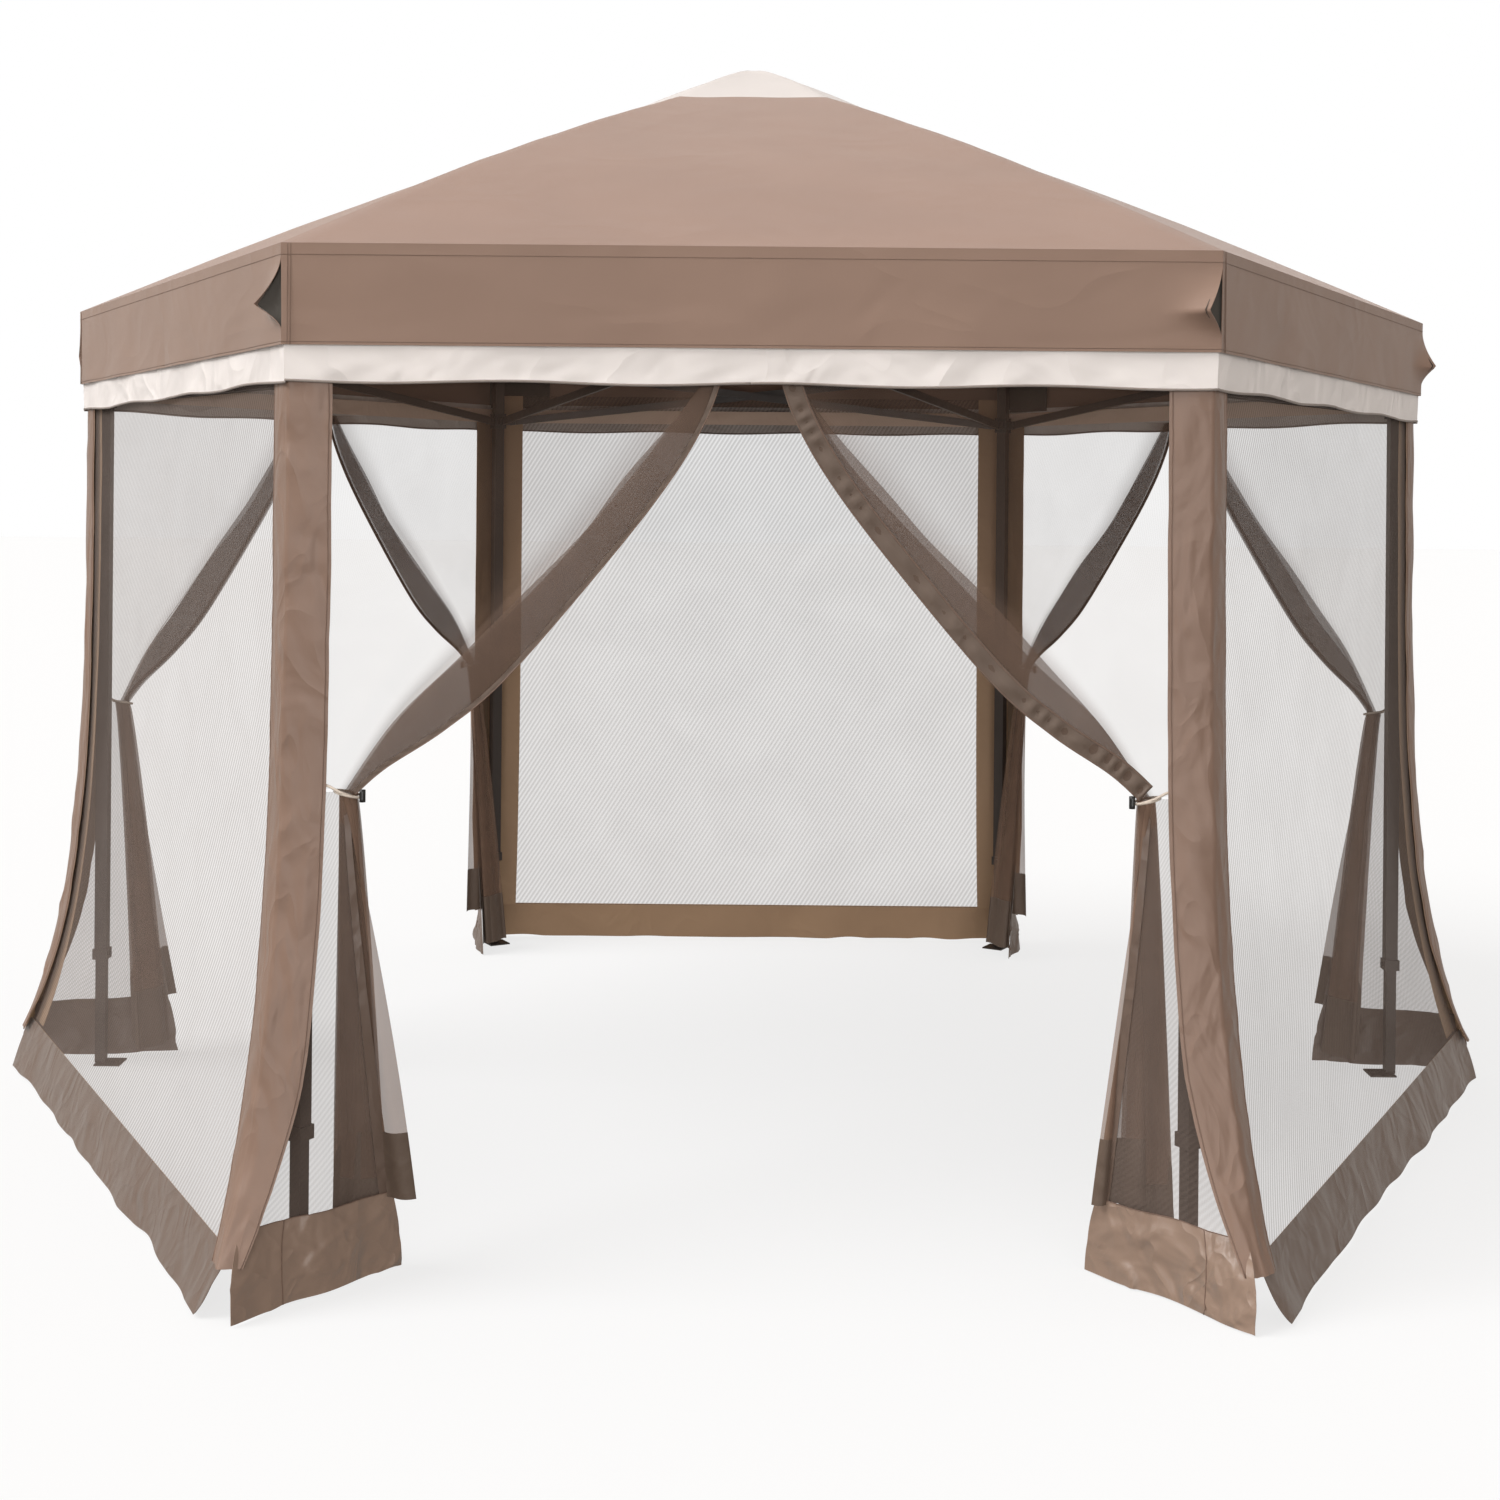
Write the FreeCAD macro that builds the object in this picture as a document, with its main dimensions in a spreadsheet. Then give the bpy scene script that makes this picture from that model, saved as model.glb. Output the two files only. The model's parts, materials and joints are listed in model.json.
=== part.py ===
import FreeCAD, Part
import math
import os
from FreeCAD import Placement, Rotation, Vector

# Hexagonal folding screen house, in millimetres, +Z up, standing on z = 0.
# Corner 1 is front left, seen from -Y, and the corners run anticlockwise.
# Side k joins corner k to corner k + 1. Odd sides are doorways, even sides are closed.

DIMENSIONS = {
    "LegCircle": 1755,
    "PivotReach": 50,
    "TopPivotHeight": 2000,
    "SliderPivotHeight": 1810,
    "LegWidth": 32,
    "LegWall": 1,
    "LegBottom": 290,
    "LegTop": 1985,
    "LowerWidth": 26.5,
    "LowerWall": 1,
    "LowerTop": 600,
    "CapWidth": 40,
    "CapHeight": 30,
    "CollarBottom": 285,
    "CollarHeight": 28,
    "SliderWidth": 42,
    "SliderBore": 33,
    "SliderHeight": 50,
    "BarDepth": 25,
    "BarThickness": 12,
    "BarWall": 0.8,
    "BarOverhang": 10,
    "LayerOffset": 7,
    "PinRadius": 4,
    "RunningHole": 4.05,
    "LooseHole": 4.25,
    "PinHeadRadius": 7,
    "PinHeadHeight": 2.5,
    "PinProud": 1,
    "RivetProud": 1.5,
    "DrillLength": 30,
    "ProngThickness": 7.5,
    "ProngHeight": 24,
    "CheekThickness": 4,
    "CheekGap": 0.5,
    "HubClevisRoot": 26,
    "SliderClevisRoot": 18,
    "SliderEarRoot": 24,
    "CapEarRoot": 5,
    "HubRadius": 34,
    "HubHeight": 40,
    "PostRadius": 12,
    "PostBottom": 1990,
    "PostTop": 2674,
    "PostHeadRadius": 28,
    "PostHeadHeight": 6,
    "FootWidth": 70,
    "FootThickness": 4,
    "FootInset": 25,
    "StakeInset": 20,
    "StakeHoleRadius": 5,
    "KnobRadius": 6,
    "KnobHeight": 5,
    "GuideRadius": 3,
    "GuideHole": 3.06,
    "KnobTipGap": 0.3,
    "GuideOverlap": 1,
    "EaveApothem": 1584,
    "EaveHeight": 2050,
    "PeakHeight": 2700,
    "RoofThickness": 2,
    "ValanceBottom": 1848,
    "VentApothem": 386,
    "VentHeight": 2552,
    "VentPeak": 2725,
    "VentThickness": 2,
    "ApexApothem": 2,
    "NetApothem": 1561,
    "NetThickness": 1.5,
    "NetTop": 1990,
    "NetBottom": 85,
    "HeaderBottom": 1778,
    "SkirtApothem": 1700,
    "SkirtFoot": 4,
    "DoorSplit": 68,
    "TieHeight": 970,
    "TieInset": 70,
    "TailFlare": 210,
}

doc = FreeCAD.newDocument("ScreenHouse")
sheet = doc.addObject("Spreadsheet::Sheet", "Dimensions")
for row, (alias, number) in enumerate(DIMENSIONS.items(), start=1):
    sheet.set(f"A{row}", alias)
    sheet.set(f"B{row}", str(number))
    sheet.setAlias(f"B{row}", alias)
doc.recompute()

CORNERS = range(1, 7)
TAN30 = math.tan(math.radians(30))
UP = Vector(0, 0, 1)
nodes = []


def size(alias):
    return float(sheet.get(alias))


def bound(alias):
    return f"Dimensions.{alias}"


def outward(corner):
    """Unit vector from the centre of the house to a corner."""
    angle = math.radians(240 + 60 * (corner - 1))
    return Vector(math.cos(angle), math.sin(angle), 0)


def along_side(side):
    """Unit vector along a side, from its first corner to its second."""
    return (outward(side + 1) - outward(side)).normalize()


def leg_frame(corner, x_direction, height):
    """Local frame on a leg's axis, X along x_direction and Z up."""
    y_direction = UP.cross(x_direction)
    turn = Rotation(x_direction, y_direction, UP, "XYZ")
    return Placement(outward(corner) * size("LegCircle") + UP * height, turn)


def hub_frame(corner, height):
    x_direction = outward(corner)
    turn = Rotation(x_direction, UP.cross(x_direction), UP, "XYZ")
    return Placement(UP * height, turn)


def block(sizes, frame, start):
    """Box whose three sizes are expressions, its low corner at start in the local frame."""
    piece = doc.addObject("Part::Box", "Block")
    for side, text in zip(("Length", "Width", "Height"), sizes):
        piece.setExpression(side, text)
    piece.Placement = frame * Placement(start, Rotation())
    return piece


def square_block(width, height, frame, bottom=0.0):
    """Box of square section centred on the local Z axis; width and height are aliases."""
    half = size(width) / 2
    sizes = (bound(width), bound(width), bound(height))
    return block(sizes, frame, Vector(-half, -half, bottom))


def rod(radius, length, frame, start, direction):
    """Cylinder from start, in the local frame, along a local direction."""
    piece = doc.addObject("Part::Cylinder", "Rod")
    piece.setExpression("Radius", radius)
    piece.setExpression("Height", length)
    piece.Placement = frame * Placement(start, Rotation(UP, direction))
    return piece


def fused(pieces):
    piece = doc.addObject("Part::MultiFuse", "Fuse")
    piece.Shapes = pieces
    return piece


def cut(base, tools):
    piece = doc.addObject("Part::Cut", "Cut")
    piece.Base = base
    piece.Tool = tools[0] if len(tools) == 1 else fused(tools)
    return piece


def gathered(pieces):
    """Several touching solids that make one sub-part."""
    piece = doc.addObject("Part::Compound", "Group")
    piece.Links = pieces
    return piece


def named(piece, label):
    piece.Label = label
    nodes.append(piece)


def square_tube(outer, wall, length, frame, bottom):
    """Square tube; outer and wall are aliases, length is an expression."""
    half = size(outer) / 2
    inner = half - size(wall)
    inner_width = f"{bound(outer)} - 2 * {bound(wall)}"
    skin = block((bound(outer), bound(outer), length), frame, Vector(-half, -half, bottom))
    hollow = block((inner_width, inner_width, length), frame, Vector(-inner, -inner, bottom))
    return cut(skin, [hollow])


# Folding bars: flat rectangular tube with cross pins.

def bar_frame(start, end, lateral):
    x_direction = (end - start).normalize()
    turn = Rotation(x_direction, lateral, x_direction.cross(lateral), "XYZ")
    return Placement(start, turn)


def hollow_bar(start, end, lateral, layer, holes, rivet=False):
    """Bar between two pivots, set off sideways by its layer, with holes at (place, alias)."""
    span = (end - start).Length
    overhang = size("BarOverhang")
    middle = layer * size("LayerOffset")
    frame = bar_frame(start, end, lateral) * Placement(Vector(0, middle, 0), Rotation())
    length = f"{span} + 2 * {bound('BarOverhang')}"
    half_width = size("BarThickness") / 2
    half_depth = size("BarDepth") / 2
    wall = size("BarWall")
    skin = block(
        (length, bound("BarThickness"), bound("BarDepth")),
        frame,
        Vector(-overhang, -half_width, -half_depth),
    )
    hollow = block(
        (
            length,
            f"{bound('BarThickness')} - 2 * {bound('BarWall')}",
            f"{bound('BarDepth')} - 2 * {bound('BarWall')}",
        ),
        frame,
        Vector(-overhang, wall - half_width, wall - half_depth),
    )
    drill_start = -size("DrillLength") / 2
    drills = []
    for place, alias in holes:
        start_point = Vector(place * span, drill_start, 0)
        drills.append(rod(bound(alias), bound("DrillLength"), frame, start_point, Vector(0, 1, 0)))
    bar = cut(skin, [hollow] + drills)
    if not rivet:
        return bar
    shank = rod(
        bound("PinRadius"),
        f"{bound('BarThickness')} + 2 * {bound('LayerOffset')} + {bound('RivetProud')}",
        frame,
        Vector(span / 2, layer * (half_width + size("RivetProud")), 0),
        Vector(0, -layer, 0),
    )
    return fused([bar, shank])


def spoke_bar(corner):
    reach = outward(corner) * size("PivotReach")
    start = reach + UP * size("TopPivotHeight")
    end = outward(corner) * size("LegCircle") - reach + UP * size("SliderPivotHeight")
    lateral = UP.cross(outward(corner))
    return hollow_bar(start, end, lateral, 0, [(0, "RunningHole"), (1, "RunningHole")])


def side_bar(side, rises):
    """One bar of a side's crossed pair: inner layer if it rises from the slider, else outer."""
    direction = along_side(side)
    lateral = UP.cross(direction) * -1
    near = outward(side) * size("LegCircle") + direction * size("PivotReach")
    far = outward(side + 1) * size("LegCircle") - direction * size("PivotReach")
    low = UP * size("SliderPivotHeight")
    high = UP * size("TopPivotHeight")
    if rises:
        holes = [(0, "RunningHole"), (0.5, "LooseHole"), (1, "RunningHole")]
        return hollow_bar(near + low, far + high, lateral, -1, holes)
    holes = [(0, "RunningHole"), (1, "LooseHole")]
    return hollow_bar(near + high, far + low, lateral, 1, holes, rivet=True)


# Brackets that hold the bars.

def side_prong(corner, direction, lateral, layer, height, root):
    """Ear with a headed pin for one side bar, which lies on the layer's side; root is an alias."""
    turn = Rotation(direction, lateral, direction.cross(lateral), "XYZ")
    frame = Placement(outward(corner) * size("LegCircle") + UP * height, turn)
    reach = size("PivotReach")
    bar_inner = size("LayerOffset") - size("BarThickness") / 2
    bar_outer = size("LayerOffset") + size("BarThickness") / 2
    face = bar_inner - size("CheekGap")
    thickness = size("ProngThickness")
    low_side = face - thickness if layer > 0 else -face
    ear = block(
        (
            f"{bound('PivotReach')} + {bound('BarOverhang')} - {bound(root)}",
            bound("ProngThickness"),
            bound("ProngHeight"),
        ),
        frame,
        Vector(size(root), low_side, -size("ProngHeight") / 2),
    )
    head_place = bar_outer + size("CheekGap")
    pin_length = head_place - face + thickness / 2
    outwards = Vector(0, layer, 0)
    pin = rod(
        bound("PinRadius"),
        str(pin_length),
        frame,
        Vector(reach, layer * (face - thickness / 2), 0),
        outwards,
    )
    head = rod(
        bound("PinHeadRadius"),
        bound("PinHeadHeight"),
        frame,
        Vector(reach, layer * head_place, 0),
        outwards,
    )
    return [ear, pin, head]


def corner_prongs(corner, at_top, root):
    """The two side ears of a corner cap, or of a slider, which hold opposite bars."""
    before = along_side(corner - 1)
    after = along_side(corner)
    height = size("TopPivotHeight") if at_top else size("SliderPivotHeight")
    outer = 1 if at_top else -1
    return (
        side_prong(corner, after, UP.cross(after) * -1, outer, height, root)
        + side_prong(corner, before * -1, UP.cross(before) * -1, -outer, height, root)
    )


def spoke_clevis(frame, root):
    """Two cheeks and a pin for the spoke bar, along the local X axis; root is an alias."""
    inner = size("BarThickness") / 2 + size("CheekGap")
    cheek = size("CheekThickness")
    height = size("ProngHeight")
    length = f"{bound('PivotReach')} + {bound('BarOverhang')} - {bound(root)}"
    pieces = []
    for low_side in (inner, -inner - cheek):
        pieces.append(
            block(
                (length, bound("CheekThickness"), bound("ProngHeight")),
                frame,
                Vector(size(root), low_side, -height / 2),
            )
        )
    half = inner + cheek + size("PinProud")
    pieces.append(
        rod(
            bound("PinRadius"),
            str(2 * half),
            frame,
            Vector(size("PivotReach"), -half, 0),
            Vector(0, 1, 0),
        )
    )
    return pieces


def slider(corner):
    """Ring that runs on the leg, with two side ears, a clevis and a hole for its latch."""
    middle = size("SliderPivotHeight")
    bottom = -size("SliderHeight") / 2
    inward = leg_frame(corner, outward(corner) * -1, middle)
    skin = square_block("SliderWidth", "SliderHeight", inward, bottom)
    bore = square_block("SliderBore", "SliderHeight", inward, bottom)
    latch_hole = rod(
        bound("GuideHole"), bound("DrillLength"), inward, Vector(0, 0, 0), Vector(-1, 0, 0)
    )
    ring = cut(skin, [bore, latch_hole])
    prongs = corner_prongs(corner, False, "SliderEarRoot")
    return fused([ring] + prongs + spoke_clevis(inward, "SliderClevisRoot"))


def pull_knob(corner, direction, height, wall_face, tip):
    """Sprung knob with a guide pin; it pulls straight out along direction."""
    frame = leg_frame(corner, direction, height)
    head = rod(
        bound("KnobRadius"), bound("KnobHeight"), frame, Vector(wall_face, 0, 0), Vector(1, 0, 0)
    )
    guide_length = wall_face - tip + size("GuideOverlap")
    guide = rod(
        bound("GuideRadius"), str(guide_length), frame, Vector(tip, 0, 0), Vector(1, 0, 0)
    )
    return fused([head, guide])


def leg_post(corner):
    inward = leg_frame(corner, outward(corner) * -1, 0)
    length = f"{bound('LegTop')} - {bound('LegBottom')}"
    tube = square_tube("LegWidth", "LegWall", length, inward, size("LegBottom"))
    knob_height = size("CollarBottom") + size("CollarHeight") / 2
    knob_hole = rod(
        bound("GuideHole"),
        bound("DrillLength"),
        inward,
        Vector(0, 0, knob_height),
        Vector(1, 0, 0),
    )
    cap = square_block("CapWidth", "CapHeight", inward, size("LegTop"))
    bracket = fused([cap] + corner_prongs(corner, True, "CapEarRoot"))
    collar = square_block("CapWidth", "CollarHeight", inward, size("CollarBottom"))
    collar_bore = square_block("LegWidth", "CollarHeight", inward, size("CollarBottom"))
    sleeve = cut(collar, [collar_bore, knob_hole])
    return gathered([cut(tube, [knob_hole]), bracket, sleeve])


def lower_leg(corner):
    inward = leg_frame(corner, outward(corner) * -1, 0)
    length = f"{bound('LowerTop')} - {bound('FootThickness')}"
    tube = square_tube("LowerWidth", "LowerWall", length, inward, size("FootThickness"))
    half = size("FootWidth") / 2
    plate = block(
        (bound("FootWidth"), bound("FootWidth"), bound("FootThickness")),
        inward,
        Vector(size("FootInset") - half, -half, 0),
    )
    stake_hole = rod(
        bound("StakeHoleRadius"),
        bound("FootThickness"),
        inward,
        Vector(size("FootInset") + size("StakeInset"), 0, 0),
        UP,
    )
    return gathered([tube, cut(plate, [stake_hole])])


def upper_hub():
    base = Placement(UP * (size("TopPivotHeight") - size("HubHeight") / 2), Rotation())
    disc = rod(bound("HubRadius"), bound("HubHeight"), base, Vector(), UP)
    bore = rod(bound("PostRadius"), bound("HubHeight"), base, Vector(), UP)
    cheeks = []
    for corner in CORNERS:
        cheeks += spoke_clevis(hub_frame(corner, size("TopPivotHeight")), "HubClevisRoot")
    return fused([cut(disc, [bore])] + cheeks)


def peak_post():
    shaft_length = f"{bound('PostTop')} - {bound('PostBottom')}"
    ground = Placement()
    shaft = rod(bound("PostRadius"), shaft_length, ground, UP * size("PostBottom"), UP)
    head = rod(
        bound("PostHeadRadius"), bound("PostHeadHeight"), ground, UP * size("PostTop"), UP
    )
    return fused([shaft, head])


# Cloth: thin flat plates, each a solid between two matching outlines.

def plate(first, second):
    """Closed solid between two outlines that have the same number of points."""
    count = len(first)
    rings = [first, second]
    for index in range(count):
        after = (index + 1) % count
        rings.append([first[index], first[after], second[after], second[index]])
    faces = [Part.Face(Part.makePolygon(ring + [ring[0]])) for ring in rings]
    solid = Part.Solid(Part.Shell(faces))
    if solid.Volume < 0:
        solid.reverse()
    piece = doc.addObject("Part::Feature", "Plate")
    piece.Shape = solid
    return piece


def side_point(side, apothem, sideways, height):
    """Point over a side: apothem out from the centre, sideways towards the second corner."""
    along = along_side(side)
    out = along.cross(UP)
    return out * apothem + along * sideways + UP * height


def strip(side, profile, first_end, second_end):
    """Plate with a profile of (apothem, height) points between two ends of a side.

    An end is a share of the way from the middle, 0, to a corner, -1 or 1.
    """
    outlines = []
    for end in (first_end, second_end):
        outlines.append(
            [side_point(side, apothem, end * apothem * TAN30, height) for apothem, height in profile]
        )
    return plate(outlines[0], outlines[1])


def wall_plate(side, outline):
    """Upright plate in the net's plane; outline holds (sideways, height) points."""
    inner = size("NetApothem") - size("NetThickness")
    outer = size("NetApothem")
    near = [side_point(side, inner, sideways, height) for sideways, height in outline]
    far = [side_point(side, outer, sideways, height) for sideways, height in outline]
    return plate(near, far)


def canopy_roof():
    eave = size("EaveApothem")
    apex = size("ApexApothem")
    eave_top = size("EaveHeight")
    pitch = (size("PeakHeight") - eave_top) / eave
    apex_top = size("PeakHeight") - apex * pitch
    cloth = size("RoofThickness")
    slope = [
        (apex, apex_top),
        (eave, eave_top),
        (eave, eave_top - cloth),
        (apex, apex_top - cloth),
    ]
    drop = [
        (eave, eave_top - cloth),
        (eave, size("ValanceBottom")),
        (eave - cloth, size("ValanceBottom")),
        (eave - cloth, eave_top - cloth),
    ]
    plates = []
    for side in CORNERS:
        plates.append(strip(side, slope, -1, 1))
        plates.append(strip(side, drop, -1, 1))
    return gathered(plates)


def vent_cap():
    rim = size("VentApothem")
    apex = size("ApexApothem")
    cloth = size("VentThickness")
    slope = [
        (apex, size("VentPeak")),
        (rim, size("VentHeight")),
        (rim, size("VentHeight") - cloth),
        (apex, size("VentPeak") - cloth),
    ]
    return gathered([strip(side, slope, -1, 1) for side in CORNERS])


def net_panel(corner):
    """Cloth tied to one leg: half a closed side, and half a doorway with its curtain."""
    closed, door = (corner, corner - 1) if corner % 2 == 0 else (corner - 1, corner)
    towards_closed = -1 if closed == corner else 1
    towards_door = -1 if door == corner else 1
    inner = size("NetApothem") - size("NetThickness")
    edge = inner * TAN30
    top = size("NetTop")
    bottom = size("NetBottom")
    header = size("HeaderBottom")
    tie_height = size("TieHeight")
    tie = edge - size("TieInset")
    hem = edge - size("TailFlare")
    skirt = [
        (size("NetApothem"), bottom),
        (size("SkirtApothem"), 0),
        (size("SkirtApothem") - size("SkirtFoot"), 0),
        (inner, bottom),
    ]

    def mirrored(outline, sign):
        return [(sideways * sign, height) for sideways, height in outline]

    whole = [(0, bottom), (edge, bottom), (edge, top), (0, top)]
    over_door = [(0, header), (edge, header), (edge, top), (0, top)]
    curtain = [(size("DoorSplit"), header), (edge, header), (edge, tie_height), (tie, tie_height)]
    tail = [(tie, tie_height), (edge, tie_height), (edge, bottom), (hem, bottom)]
    tail_start = hem / edge * towards_door
    return gathered([
        wall_plate(closed, mirrored(whole, towards_closed)),
        strip(closed, skirt, 0, towards_closed),
        wall_plate(door, mirrored(over_door, towards_door)),
        wall_plate(door, mirrored(curtain, towards_door)),
        wall_plate(door, mirrored(tail, towards_door)),
        strip(door, skirt, tail_start, towards_door),
    ])


named(upper_hub(), "upper_hub")
named(peak_post(), "peak_post")
named(canopy_roof(), "canopy_roof")
named(vent_cap(), "vent_cap")
knob_height = size("CollarBottom") + size("CollarHeight") / 2
for corner in CORNERS:
    named(spoke_bar(corner), f"spoke_bar_{corner}")
    named(side_bar(corner, False), f"side_bar_a_{corner}")
    named(side_bar(corner, True), f"side_bar_b_{corner}")
    named(slider(corner), f"slider_{corner}")
    named(leg_post(corner), f"leg_post_{corner}")
    named(lower_leg(corner), f"lower_leg_{corner}")
    named(net_panel(corner), f"net_panel_{corner}")
    latch = pull_knob(
        corner,
        outward(corner),
        size("SliderPivotHeight"),
        size("SliderWidth") / 2,
        size("LegWidth") / 2 + size("KnobTipGap"),
    )
    named(latch, f"slider_latch_{corner}")
    button = pull_knob(
        corner,
        outward(corner) * -1,
        knob_height,
        size("CapWidth") / 2,
        size("LowerWidth") / 2 + size("KnobTipGap"),
    )
    named(button, f"leg_lock_button_{corner}")

doc.recompute()

for item in doc.Objects:
    if "Invalid" in item.State or "Error" in item.State:
        raise RuntimeError(f"{item.Label} did not recompute")
for node in nodes:
    if node.Shape.isNull() or not node.Shape.isValid():
        raise RuntimeError(f"{node.Label} has no valid shape")

os.makedirs("parts", exist_ok=True)
for node in nodes:
    node.Shape.exportStep(os.path.join("parts", f"{node.Label}.step"))
    print(node.Label, len(node.Shape.Solids), round(node.Shape.Volume / 1000, 1))
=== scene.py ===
import json
import math

import bpy
import numpy as np
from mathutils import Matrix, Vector, noise


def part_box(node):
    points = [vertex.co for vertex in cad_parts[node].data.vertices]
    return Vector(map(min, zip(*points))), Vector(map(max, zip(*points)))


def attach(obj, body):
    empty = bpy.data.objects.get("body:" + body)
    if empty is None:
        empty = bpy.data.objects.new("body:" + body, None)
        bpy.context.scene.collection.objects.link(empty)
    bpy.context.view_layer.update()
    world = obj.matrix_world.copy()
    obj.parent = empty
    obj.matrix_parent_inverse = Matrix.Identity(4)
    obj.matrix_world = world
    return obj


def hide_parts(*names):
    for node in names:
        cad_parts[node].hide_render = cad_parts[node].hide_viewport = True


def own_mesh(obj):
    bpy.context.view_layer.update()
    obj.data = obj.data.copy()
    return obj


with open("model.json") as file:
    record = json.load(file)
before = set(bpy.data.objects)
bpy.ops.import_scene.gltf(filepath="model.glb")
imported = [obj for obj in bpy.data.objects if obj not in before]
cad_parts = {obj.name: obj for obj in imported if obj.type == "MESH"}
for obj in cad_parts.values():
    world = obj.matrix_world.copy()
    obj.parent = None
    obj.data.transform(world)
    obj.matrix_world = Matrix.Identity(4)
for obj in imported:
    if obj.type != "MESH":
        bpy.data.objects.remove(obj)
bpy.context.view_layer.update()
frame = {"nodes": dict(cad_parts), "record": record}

# Sizes, in metres and degrees. Side k joins leg k to leg k + 1; odd sides are doorways.
# R is a reach from the middle to a corner and A one to the middle of a side.
roof_low, roof_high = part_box("canopy_roof")
vent_low, vent_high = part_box("vent_cap")
panel_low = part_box("net_panel_1")[0]

SIDES = range(1, 7)
TAN30 = math.tan(math.radians(30))
UP = Vector((0, 0, 1))

EAVE_R = roof_high.x
EAVE_A = roof_high.y
EAVE_Z = 2.045
VALANCE_Z = roof_low.z
PEAK_Z = roof_high.z
VENT_R = vent_high.x
VENT_Z = vent_low.z
VENT_PEAK_Z = vent_high.z
NET_INSET = 0.0235
NET_A = EAVE_A - NET_INSET
NET_TOP_Z = 1.90
NET_LEAN = 0.165
NET_LEAN_POWER = 4.4
BACK_LEGS = (4, 5)
BACK_LEAN = 0.030
SKIRT_SPREAD = 0.030
SKIRT_A = -panel_low.y + SKIRT_SPREAD
SKIRT_Z = 0.12
SKIRT_GAP = 0.05
BACK_SKIRT_RUN = 0.030
BORDER_WIDTH = 0.098
BORDER_INSET = 0.011
BAND_LOW_Z = 1.778
BAND_HIGH_Z = 1.868
BAND_OUT = 0.015
TAPE_TOP_Z = 1.852
TAPE_WIDTH = 0.046
TAPE_INSET = 0.007
STRIP_HALF_WIDTH = 0.087
STRIP_FOOT_Z = 0.10
STRIP_ROWS = 110
STRIP_SEAMS = (0.035, 0.965)
WALL_KEEP = 0.162
CLOTH = 0.0012
CORD_RADIUS = 0.0028
CREASE_SHARPNESS = 6.0

# Camera in front of the front doorway. The shares are of the image's width.
EYE = Vector((0.0, -5.505, 1.565))
IMAGE_WIDTH = 1500
FOCAL_SHARE = 2020 / IMAGE_WIDTH
HORIZON_SHARE = 256 / IMAGE_WIDTH
SENSOR_WIDTH = 36
CAMERA_ROLL = -0.5
CLIP_END = 200

# Suns: name, strength, angular width, and the way that the light comes from.
SUNS = (
    ("key", 2.9, 35, (-0.69, -0.22, 0.69)),
    ("fill", 1.8, 50, (0.05, -1.0, 0.06)),
)
SKY_COLOUR = (1, 0.92, 0.85, 1)
SKY_RAMP = (("From Min", -0.5), ("From Max", 0.8), ("To Min", 0.34), ("To Max", 0.64))
FLOOR_REACH = 90
FLOOR_NEAR = -30
FLOOR_FAR = 60
WALL_AT = 59
WALL_FOOT = -5
WALL_TOP = 60
LIGHT_BOUNCES = 32


# ---------------------------------------------------------------- materials

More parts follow.
